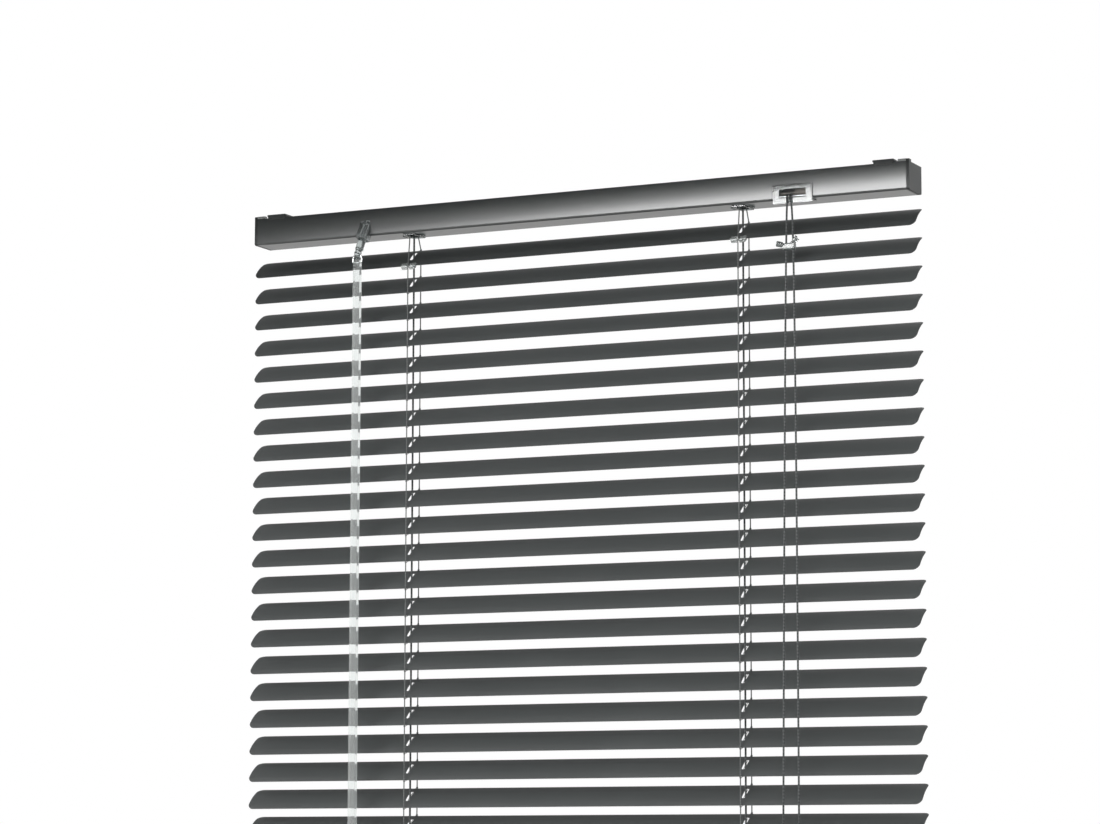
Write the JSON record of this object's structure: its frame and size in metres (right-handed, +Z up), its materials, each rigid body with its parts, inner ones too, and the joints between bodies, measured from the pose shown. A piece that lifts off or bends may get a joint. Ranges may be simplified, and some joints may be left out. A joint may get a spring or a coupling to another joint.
{
  "type": "venetian blind",
  "caption": "Aluminium venetian blind with a channel headrail, wand worm tilter, cord lock, ladder strings, crowned slats and a bottom rail.",
  "frame": {"origin": "midway between the two bracket screws, on the brackets' ceiling face", "axes": "+X along the headrail, -Y towards the room, +Z up into the ceiling"},
  "size_m": [0.57, 0.0454, 0.533],
  "materials": {
    "slat_paint": "satin anthracite enamel",
    "rail_paint": "semi-gloss anthracite enamel",
    "clear_plastic": "clear moulded",
    "dark_plastic": "fine moulded grain",
    "pale_plastic": "moulded",
    "steel_wire": "drawn",
    "brass_roller": "knurled",
    "cord": "braided"
  },
  "bodies": {
    "frame": {"headrail": "rail_paint", "end_cap_left": "dark_plastic", "end_cap_right": "dark_plastic", "bracket_left": "rail_paint", "bracket_right": "rail_paint", "cradle_left": "clear_plastic", "cradle_right": "clear_plastic", "tilter_housing": "clear_plastic", "cord_lock_body": "clear_plastic", "cord_lock_pin": "steel_wire", "ladder_left_lead": "cord", "ladder_right_lead": "cord"},
    "tilt": {"tilt_rod": "steel_wire", "drum_left": "pale_plastic", "drum_right": "pale_plastic", "tilter_gear": "pale_plastic"},
    "worm": {"tilter_worm": "clear_plastic"},
    "wand": {"wand_hook": "steel_wire", "wand": "clear_plastic", "wand_grip": "clear_plastic"},
    "roller": {"cord_lock_roller": "brass_roller"},
    "lift": {"lift_cord_left": "cord", "lift_cord_right": "cord"},
    "bottom": {"bottom_rail": "rail_paint", "bottom_cap_left": "dark_plastic", "bottom_cap_right": "dark_plastic", "cord_plugs": "dark_plastic"},
    "pull": {"pull_cord_left": "cord", "pull_cord_right": "cord", "cord_equaliser": "clear_plastic", "tassel_left": "dark_plastic", "tassel_right": "dark_plastic"},
    "ladder_front": {"ladder_front": "cord", "ladder_front_ends": "cord"},
    "ladder_back": {"ladder_back": "cord", "ladder_back_ends": "cord"},
    "slat_01": {"slat_01": "slat_paint", "slat_clips": "clear_plastic"},
    "slat_02": {"slat_02": "slat_paint"},
    "slat_03": {"slat_03": "slat_paint"},
    "slat_04": {"slat_04": "slat_paint"},
    "slat_05": {"slat_05": "slat_paint"},
    "slat_06": {"slat_06": "slat_paint"},
    "slat_07": {"slat_07": "slat_paint"},
    "slat_08": {"slat_08": "slat_paint"},
    "slat_09": {"slat_09": "slat_paint"},
    "slat_10": {"slat_10": "slat_paint"},
    "slat_11": {"slat_11": "slat_paint"},
    "slat_12": {"slat_12": "slat_paint"},
    "slat_13": {"slat_13": "slat_paint"},
    "slat_14": {"slat_14": "slat_paint"},
    "slat_15": {"slat_15": "slat_paint"},
    "slat_16": {"slat_16": "slat_paint"},
    "slat_17": {"slat_17": "slat_paint"},
    "slat_18": {"slat_18": "slat_paint"},
    "slat_19": {"slat_19": "slat_paint"},
    "slat_20": {"slat_20": "slat_paint"},
    "slat_21": {"slat_21": "slat_paint"},
    "slat_22": {"slat_22": "slat_paint"}
  },
  "joints": [
    {"name": "tilt_turn", "type": "hinge", "parent": "frame", "child": "tilt", "pos_m": [0, 0, -0.0125], "axis": [1, 0, 0], "range_deg": [-190, 51], "deforming": ["ladder_left_lead", "ladder_right_lead"]},
    {"name": "worm_turn", "type": "hinge", "parent": "frame", "child": "worm", "pos_m": [-0.18, -0.00693, -0.0085], "axis": [0, -0.5, -0.866], "range_deg": [-2280, 612]},
    {"name": "wand_turn", "type": "hinge", "parent": "frame", "child": "wand", "pos_m": [-0.18, -0.02593, -0.045], "axis": [0, 0, -1], "range_deg": [-2280, 612]},
    {"name": "roller_slide", "type": "slide", "parent": "frame", "child": "roller", "axis": [0, 0.5, 0.866], "range_m": [0, 0.003]},
    {"name": "lift_slide", "type": "slide", "parent": "frame", "child": "lift", "axis": [0, 0, 1], "range_m": [0, 0.02], "deforming": ["lift_cord_left", "lift_cord_right", "ladder_front_ends", "ladder_back_ends"]},
    {"name": "bottom_tilt", "type": "hinge", "parent": "lift", "child": "bottom", "pos_m": [0, 0, -0.5194], "axis": [1, 0, 0], "range_deg": [-104, 28]},
    {"name": "pull_slide", "type": "slide", "parent": "frame", "child": "pull", "axis": [0, 0, -1], "range_m": [0, 0.02], "deforming": ["pull_cord_left", "pull_cord_right"]},
    {"name": "slat_01_tilt", "type": "hinge", "parent": "frame", "child": "slat_01", "pos_m": [0, 0, -0.0419], "axis": [1, 0, 0], "range_deg": [-104, 28]},
    {"name": "slat_02_tilt", "type": "hinge", "parent": "frame", "child": "slat_02", "pos_m": [0, 0, -0.0634], "axis": [1, 0, 0], "range_deg": [-104, 28]},
    {"name": "slat_03_tilt", "type": "hinge", "parent": "frame", "child": "slat_03", "pos_m": [0, 0, -0.0849], "axis": [1, 0, 0], "range_deg": [-104, 28]},
    {"name": "slat_04_tilt", "type": "hinge", "parent": "frame", "child": "slat_04", "pos_m": [0, 0, -0.1064], "axis": [1, 0, 0], "range_deg": [-104, 28]},
    {"name": "slat_05_tilt", "type": "hinge", "parent": "frame", "child": "slat_05", "pos_m": [0, 0, -0.1279], "axis": [1, 0, 0], "range_deg": [-104, 28]},
    {"name": "slat_06_tilt", "type": "hinge", "parent": "frame", "child": "slat_06", "pos_m": [0, 0, -0.1494], "axis": [1, 0, 0], "range_deg": [-104, 28]},
    {"name": "slat_07_tilt", "type": "hinge", "parent": "frame", "child": "slat_07", "pos_m": [0, 0, -0.1709], "axis": [1, 0, 0], "range_deg": [-104, 28]},
    {"name": "slat_08_tilt", "type": "hinge", "parent": "frame", "child": "slat_08", "pos_m": [0, 0, -0.1924], "axis": [1, 0, 0], "range_deg": [-104, 28]},
    {"name": "slat_09_tilt", "type": "hinge", "parent": "frame", "child": "slat_09", "pos_m": [0, 0, -0.2139], "axis": [1, 0, 0], "range_deg": [-104, 28]},
    {"name": "slat_10_tilt", "type": "hinge", "parent": "frame", "child": "slat_10", "pos_m": [0, 0, -0.2354], "axis": [1, 0, 0], "range_deg": [-104, 28]},
    {"name": "slat_11_tilt", "type": "hinge", "parent": "frame", "child": "slat_11", "pos_m": [0, 0, -0.2569], "axis": [1, 0, 0], "range_deg": [-104, 28]},
    {"name": "slat_12_tilt", "type": "hinge", "parent": "frame", "child": "slat_12", "pos_m": [0, 0, -0.2784], "axis": [1, 0, 0], "range_deg": [-104, 28]},
    {"name": "slat_13_tilt", "type": "hinge", "parent": "frame", "child": "slat_13", "pos_m": [0, 0, -0.2999], "axis": [1, 0, 0], "range_deg": [-104, 28]},
    {"name": "slat_14_tilt", "type": "hinge", "parent": "frame", "child": "slat_14", "pos_m": [0, 0, -0.3214], "axis": [1, 0, 0], "range_deg": [-104, 28]},
    {"name": "slat_15_tilt", "type": "hinge", "parent": "frame", "child": "slat_15", "pos_m": [0, 0, -0.3429], "axis": [1, 0, 0], "range_deg": [-104, 28]},
    {"name": "slat_16_tilt", "type": "hinge", "parent": "frame", "child": "slat_16", "pos_m": [0, 0, -0.3644], "axis": [1, 0, 0], "range_deg": [-104, 28]},
    {"name": "slat_17_tilt", "type": "hinge", "parent": "frame", "child": "slat_17", "pos_m": [0, 0, -0.3859], "axis": [1, 0, 0], "range_deg": [-104, 28]},
    {"name": "slat_18_tilt", "type": "hinge", "parent": "frame", "child": "slat_18", "pos_m": [0, 0, -0.4074], "axis": [1, 0, 0], "range_deg": [-104, 28]},
    {"name": "slat_19_tilt", "type": "hinge", "parent": "frame", "child": "slat_19", "pos_m": [0, 0, -0.4289], "axis": [1, 0, 0], "range_deg": [-104, 28]},
    {"name": "slat_20_tilt", "type": "hinge", "parent": "frame", "child": "slat_20", "pos_m": [0, 0, -0.4504], "axis": [1, 0, 0], "range_deg": [-104, 28]},
    {"name": "slat_21_tilt", "type": "hinge", "parent": "frame", "child": "slat_21", "pos_m": [0, 0, -0.4719], "axis": [1, 0, 0], "range_deg": [-104, 28]},
    {"name": "slat_22_tilt", "type": "hinge", "parent": "frame", "child": "slat_22", "pos_m": [0, 0, -0.4934], "axis": [1, 0, 0], "range_deg": [-104, 28]},
    {"name": "ladder_front_turn", "type": "hinge", "parent": "slat_01", "child": "ladder_front", "pos_m": [0, -0.01035, -0.05139], "axis": [1, 0, 0], "range_deg": [-28, 104]},
    {"name": "ladder_back_turn", "type": "hinge", "parent": "slat_01", "child": "ladder_back", "pos_m": [0, 0.01171, -0.03415], "axis": [1, 0, 0], "range_deg": [-28, 104]}
  ],
  "couplings": [
    {"joint": "worm_turn", "follows": "tilt_turn", "ratio": 12},
    {"joint": "wand_turn", "follows": "tilt_turn", "ratio": 12},
    {"joint": "bottom_tilt", "follows": "tilt_turn", "ratio": 0.545},
    {"joint": "pull_slide", "follows": "lift_slide", "ratio": 1},
    {"joint": "slat_01_tilt", "follows": "tilt_turn", "ratio": 0.545},
    {"joint": "slat_02_tilt", "follows": "tilt_turn", "ratio": 0.545},
    {"joint": "slat_03_tilt", "follows": "tilt_turn", "ratio": 0.545},
    {"joint": "slat_04_tilt", "follows": "tilt_turn", "ratio": 0.545},
    {"joint": "slat_05_tilt", "follows": "tilt_turn", "ratio": 0.545},
    {"joint": "slat_06_tilt", "follows": "tilt_turn", "ratio": 0.545},
    {"joint": "slat_07_tilt", "follows": "tilt_turn", "ratio": 0.545},
    {"joint": "slat_08_tilt", "follows": "tilt_turn", "ratio": 0.545},
    {"joint": "slat_09_tilt", "follows": "tilt_turn", "ratio": 0.545},
    {"joint": "slat_10_tilt", "follows": "tilt_turn", "ratio": 0.545},
    {"joint": "slat_11_tilt", "follows": "tilt_turn", "ratio": 0.545},
    {"joint": "slat_12_tilt", "follows": "tilt_turn", "ratio": 0.545},
    {"joint": "slat_13_tilt", "follows": "tilt_turn", "ratio": 0.545},
    {"joint": "slat_14_tilt", "follows": "tilt_turn", "ratio": 0.545},
    {"joint": "slat_15_tilt", "follows": "tilt_turn", "ratio": 0.545},
    {"joint": "slat_16_tilt", "follows": "tilt_turn", "ratio": 0.545},
    {"joint": "slat_17_tilt", "follows": "tilt_turn", "ratio": 0.545},
    {"joint": "slat_18_tilt", "follows": "tilt_turn", "ratio": 0.545},
    {"joint": "slat_19_tilt", "follows": "tilt_turn", "ratio": 0.545},
    {"joint": "slat_20_tilt", "follows": "tilt_turn", "ratio": 0.545},
    {"joint": "slat_21_tilt", "follows": "tilt_turn", "ratio": 0.545},
    {"joint": "slat_22_tilt", "follows": "tilt_turn", "ratio": 0.545},
    {"joint": "ladder_front_turn", "follows": "tilt_turn", "ratio": -0.545},
    {"joint": "ladder_back_turn", "follows": "tilt_turn", "ratio": -0.545}
  ]
}
